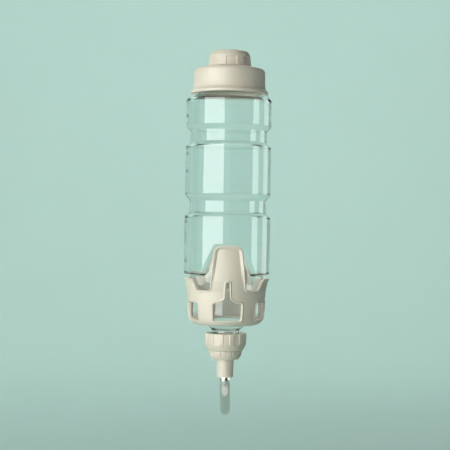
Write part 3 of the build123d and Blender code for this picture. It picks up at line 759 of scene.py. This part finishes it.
# =====================================================================================================
# collar, ring, spout body, tube
# =====================================================================================================
col_bore = R_NECK + 1.0 + 0.4
collar_side = [(20.08 - 0.08 * smooth(-54.0, -57.3, z), z) for z in np.arange(-48.6, -57.4, -0.35)]
collar_a = rounded([(11.6, -64.3, 0.2), (16.5, -64.3, 0.6), (18.9, -60.2, 3.0), (20.0, -57.4, 2.0)], closed=False, arc=5.0)
collar_b = rounded([(20.08, -48.6), (20.1, -47.8, 0.45), (18.7, -47.8, 0.4), (18.5, -50.8, 0.6), (col_bore, -51.6, 0.4),
                    (col_bore, -62.5, 0.4), (11.6, -62.5, 0.2)], closed=False, arc=10.0)
collar_taper = [(18.9 + (z + 60.2) * 1.1 / 2.8, z) for z in np.arange(-59.6, -57.5, 0.18)]
collar_outline = np.vstack([[q for q in collar_a[1:-1] if q[1] < -59.7], collar_taper, collar_side[::-1], collar_b[1:]])


def collar_warp(R, Z, T):
    """Twelve shallow grips between narrow lands, running out where the taper begins."""
    a = np.abs(((T - 0.3 + 15.0) % 30.0) - 15.0)
    cut = smooth(8.9, 7.9, a) * smooth(-59.0, -57.4, Z) * (R > 18.7)
    return R - 0.7 * cut


collar = piece(lathe("ribbed_collar", collar_outline, 720, BEIGE, collar_warp), "collar", "beige_plastic", "collar")

R_HUB = 11.2
ring_outline = rounded([(R_HUB, -64.5, 0.1), (15.8, -64.5, 0.5)] + [(15.79 - 0.04 * (-65.2 - z), z) for z in (-65.3, -65.8, -66.3)]
                       + [(15.7, -66.8, 2.0), (15.25, -68.3), (14.9, -69.6, 1.6), (12.6, -72.7, 1.0), (9.6, -72.7, 0.4),
                          (9.6, -72.0), (R_HUB, -72.0)], arc=5.0)


def ring_warp(R, Z, T):
    a = np.abs(((T - 3.0 + 10.0) % 20.0) - 10.0)
    return R - 0.42 * smooth(3.0, 1.6, a) * smooth(-70.2, -69.2, Z) * (R > 13.4)


piece(lathe("spout_ring", ring_outline, 360, BEIGE, ring_warp), "spout", "beige_plastic", "retaining_ring")

R_SLT, R_SLB, Z_SE, R_TUBE = 8.3, 7.8, -89.9, 5.0
body_outline = rounded([
    (9.0, -60.6, 0.4), (13.4, -60.6, 0.4), (13.4, -62.4, 0.4), (R_HUB, -62.4, 0.3), (R_HUB, -72.0), (R_SLT, -72.0, 0.8),
    (R_SLB, Z_SE + 1.6), (R_SLB + 0.35, Z_SE + 1.2, 0.3), (R_SLB + 0.35, Z_SE, 0.5), (R_TUBE + 0.6, Z_SE, 0.4),
    (R_TUBE + 0.02, Z_SE + 1.2), (R_TUBE + 0.02, -69.9), (7.55, -69.9), (7.55, -64.2, 0.4), (9.0, -63.4, 0.6)], arc=9.0)
piece(lathe("spout_sleeve", body_outline, 160, BEIGE), "spout", "beige_plastic", "spout_body")

Z_BEND, R_BEND, BEND, RUN = -91.0, 18.0, 62.0 * RAD, 51.0
SWING = 3.0 * RAD       # the bend is turned a little to the right of straight back
ARC = R_BEND * BEND


def tube_axis(s):
    """Centre and in-plane direction at height s above the bend, or the same length further along below it."""
    d = Z_BEND - s
    if d <= 0:
        return (0.0, AXIS, s), (0.0, 1.0, 0.0)
    a = min(d / R_BEND, BEND)
    y = R_BEND * (1 - math.cos(a))
    z = Z_BEND - R_BEND * math.sin(a)
    rest = max(0.0, d - ARC)
    y += rest * math.sin(BEND)
    z -= rest * math.cos(BEND)
    return (0.0, AXIS + y, z), (0.0, math.cos(a), math.sin(a))


end = Z_BEND - ARC - RUN
r_in = R_TUBE - 0.8
outer_run = [(R_TUBE, Z_BEND - ARC * i / 26) for i in range(1, 27)]
inner_run = [(r_in, Z_BEND - ARC * i / 26) for i in range(1, 27)]
tip_out = rounded([(R_TUBE, end + 12.0), (R_TUBE, end + 9.0, 8.0), (4.55, end + 3.2, 6.0), (4.45, end + 1.3, 1.6), (3.3, end, 0.25),
                   (3.1, end + 0.5, 0.2), (3.85, end + 1.6, 0.5), (3.9, end + 3.6, 4.0), (r_in, end + 8.6, 6.0), (r_in, end + 12.0)],
                  closed=False, arc=6.0)
head = rounded([(r_in, -66.0), (r_in, -64.8, 0.2), (R_TUBE, -64.8, 0.2), (R_TUBE, -66.0, 0.2), (6.8, -66.0, 0.4), (6.8, -67.2, 0.4),
                (R_TUBE, -67.2, 0.2), (R_TUBE, Z_BEND)], closed=False, arc=12.0)
tube_outline = np.vstack([head, outer_run, tip_out, inner_run[::-1], [(r_in, Z_BEND)]])
tube = lathe("steel_tube", tube_outline, 96, STAINLESS, axis=tube_axis)
for v in tube.data.vertices:
    dx, dy = v.co.x, v.co.y - AXIS * MM
    v.co.x, v.co.y = dx * math.cos(SWING) + dy * math.sin(SWING), AXIS * MM - dx * math.sin(SWING) + dy * math.cos(SWING)
piece(tube, "spout", "stainless", "spout_tube")

# carried-over CAD nodes take their finished materials
for node, mat in {
    "lid_seal": SILICONE, "fill_cap_seal": SILICONE, "neck_seal": SILICONE, "tube_seal": SILICONE,
    "valve_ball": STAINLESS, "valve_spring": STAINLESS, "spring_stop": STAINLESS,
    "mount_bolt": ZINC, "clamp_washer": ZINC, "nut_insert": BRASS, "clamp_plate": BEIGE, "wing_nut": BEIGE,
}.items():
    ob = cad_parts[node]
    ob.data.materials.clear()
    ob.data.materials.append(mat)

# =====================================================================================================
# stage, light, camera
# =====================================================================================================
def stage_bowl():
    """A pale floor that rises all round into a far wall, so every side has the same plain ground."""
    floor, radius, corner, top = -0.300, 3.2, 1.4, 3.4
    prof = [(0.0, floor), (0.4, floor), (1.0, floor)]
    for i in range(17):
        a = i / 16 * math.pi / 2
        prof.append((radius - corner + corner * math.sin(a), floor + corner - corner * math.cos(a)))
    prof.append((radius, top))
    segs = 96
    verts = [(0.0, 0.0, floor)]
    faces = []
    for k, (r, z) in enumerate(prof[1:]):
        for j in range(segs):
            a = 2 * math.pi * j / segs
            verts.append((r * math.cos(a), r * math.sin(a), z))
    for j in range(segs):
        faces.append((0, 1 + j, 1 + (j + 1) % segs))
    for k in range(len(prof) - 2):
        for j in range(segs):
            a, b = 1 + k * segs + j, 1 + k * segs + (j + 1) % segs
            faces.append((a, a + segs, b + segs, b))
    me = bpy.data.meshes.new("floor")
    me.from_pydata(verts, [], faces)
    for p in me.polygons:
        p.use_smooth = True
    o = bpy.data.objects.new("floor", me)
    bpy.context.scene.collection.objects.link(o)
    m, nt, b, out = new_material("pale_floor")
    tc = nt.nodes.new("ShaderNodeTexCoord").outputs["Object"]
    n = noise(nt, tc, 3.0, 2.0)
    col = ramp(nt, n.outputs["Fac"], [(0.3, (0.505, 0.665, 0.615)), (0.7, (0.515, 0.675, 0.625))])
    nt.links.new(col.outputs[0], b.inputs["Base Color"])
    b.inputs["Roughness"].default_value = 0.9
    b.inputs["Specular IOR Level"].default_value = 0.1
    me.materials.append(m)
    return o


stage_bowl()
bpy.context.scene.view_settings.view_transform = "Standard"
world = bpy.data.worlds.new("studio")
bpy.context.scene.world = world
world.use_nodes = True
bg = world.node_tree.nodes["Background"]
bg.inputs[0].default_value = (0.86, 0.93, 0.95, 1)
bg.inputs[1].default_value = 0.07

CENTRE = Vector((0.0, AXIS * MM, 0.046))


def softbox(name, azimuth, distance, height, width, tall, power, colour=(1, 1, 1), aim=None):
    """Area light; azimuth in degrees from the front, negative to the left, as seen from the bottle. It shows
    in the clear bottle's outer skin only, not again in its far wall."""
    L = bpy.data.lights.new(name, "AREA")
    L.shape = "RECTANGLE"
    L.size, L.size_y = width, tall
    L.energy = power
    L.color = colour
    o = bpy.data.objects.new(name, L)
    bpy.context.scene.collection.objects.link(o)
    a = azimuth * RAD
    pos = Vector((math.sin(a) * distance, AXIS * MM - math.cos(a) * distance, height))
    target = aim or Vector((0, AXIS * MM, height))
    o.location = pos
    o.rotation_euler = (target - pos).to_track_quat("-Z", "Y").to_euler()
    o.visible_camera = False
    o.visible_transmission = False
    return o


key = softbox("key_left", -42.0, 1.30, 0.12, 1.40, 1.15, 17.2, (1.0, 0.985, 1.0))
shine = softbox("key_shine", -42.0, 1.31, 0.12, 1.40, 1.15, 17.0, (1.0, 1.0, 1.0))
shine.visible_diffuse = False
strip = softbox("strip_right", 75.0, 1.30, 0.10, 0.44, 1.05, 6.0, (1.0, 1.0, 1.0))
strip.visible_diffuse = False
strip = softbox("strip_back", 116.0, 1.30, 0.10, 0.54, 1.05, 4.0, (1.0, 1.0, 1.0))
strip.visible_diffuse = False
glow = softbox("front_floor", 0.0, 0.9, 1.3, 0.6, 0.6, 0.9, (1.0, 0.87, 0.80), aim=Vector((0, -0.95, -0.3)))
glow.data.spread = 0.95
# pale card under the spout, seen in the tube only
card = softbox("tube_card", 0.0, 0.058, -0.285, 0.46, 0.25, 0.115, (1.0, 0.87, 0.83), aim=Vector((0, -0.10, 0.0)))
card.visible_diffuse = False
softbox("top", -40.0, 0.8, 1.7, 1.0, 1.0, 3.0, (1.0, 1.0, 1.0), aim=Vector((0, AXIS * MM, 0.0)))
softbox("ground_wash", 180.0, 2.1, 2.60, 3.00, 1.60, 56.0, (1.0, 1.0, 1.0), aim=Vector((0, 2.9, 0.0)))
for az, watts in ((0.0, 17.0), (90.0, 5.0), (-90.0, 17.0)):
    w = softbox("wall_wash", az, 2.2, 2.60, 2.40, 1.20, watts, (1.0, 1.0, 1.0),
                aim=Vector((2.9 * math.sin(az * RAD), -2.9 * math.cos(az * RAD), 0.0)))
    w.data.spread = 1.7


def flag(name, azimuth, distance, width, tall):
    """A dark panel beside the camera that keeps bounced light off the right side."""
    a = azimuth * RAD
    cx, cy = math.sin(a) * distance, AXIS * MM - math.cos(a) * distance
    ux, uy = math.cos(a), math.sin(a)
    verts, faces = [], []
    k = 8
    for i in range(k + 1):
        w = (i / k - 0.5) * width
        bow = 0.08 * (1 - (2 * i / k - 1) ** 2)
        for z in (-0.298, -0.298 + tall):
            verts.append((cx + ux * w + math.sin(a) * bow, cy + uy * w - math.cos(a) * bow, z))
    for i in range(k):
        faces.append((2 * i, 2 * i + 2, 2 * i + 3, 2 * i + 1))
    me = bpy.data.meshes.new(name)
    me.from_pydata(verts, [], faces)
    o = bpy.data.objects.new(name, me)
    bpy.context.scene.collection.objects.link(o)
    m, nt, b, out = new_material("dark_felt")
    tc = nt.nodes.new("ShaderNodeTexCoord").outputs["Object"]
    n = noise(nt, tc, 240.0, 3.0)
    col = ramp(nt, n.outputs["Fac"], [(0.3, (0.018, 0.020, 0.020)), (0.7, (0.026, 0.028, 0.028))])
    nt.links.new(col.outputs[0], b.inputs["Base Color"])
    b.inputs["Roughness"].default_value = 0.95
    b.inputs["Specular IOR Level"].default_value = 0.05
    me.materials.append(m)
    o.visible_camera = False
    o.visible_transmission = False
    return o


flag("flag_right", 33.0, 0.62, 0.74, 1.30)
flag("flag_side", 110.0, 1.50, 2.10, 1.50)
flag("flag_left", -98.0, 1.25, 0.50, 1.15)

cam_data = bpy.data.cameras.new("camera")
cam = bpy.data.objects.new("camera", cam_data)
bpy.context.scene.collection.objects.link(cam)
bpy.context.scene.camera = cam
cam_data.sensor_width = 36.0
cam_data.lens = 36.0 * 1190.0 / 450.0
cam_data.clip_start, cam_data.clip_end = 0.05, 20.0
turn_cam = 2.3 * RAD
distance = 1.142
place = Vector((-math.sin(turn_cam) * distance, AXIS * MM - math.cos(turn_cam) * distance, 0.046))
forward = (Vector((0, AXIS * MM, 0.046)) - place).normalized()
yaw, pitch, roll = math.atan(2.3 / 1190), math.atan(10.0 / 1190), 0.9 * RAD
look = forward.to_track_quat("-Z", "Y").to_matrix().to_4x4()
cam.matrix_world = (Matrix.Translation(place) @ look @ Matrix.Rotation(yaw, 4, "Y") @ Matrix.Rotation(pitch, 4, "X")
                    @ Matrix.Rotation(roll, 4, "Z"))
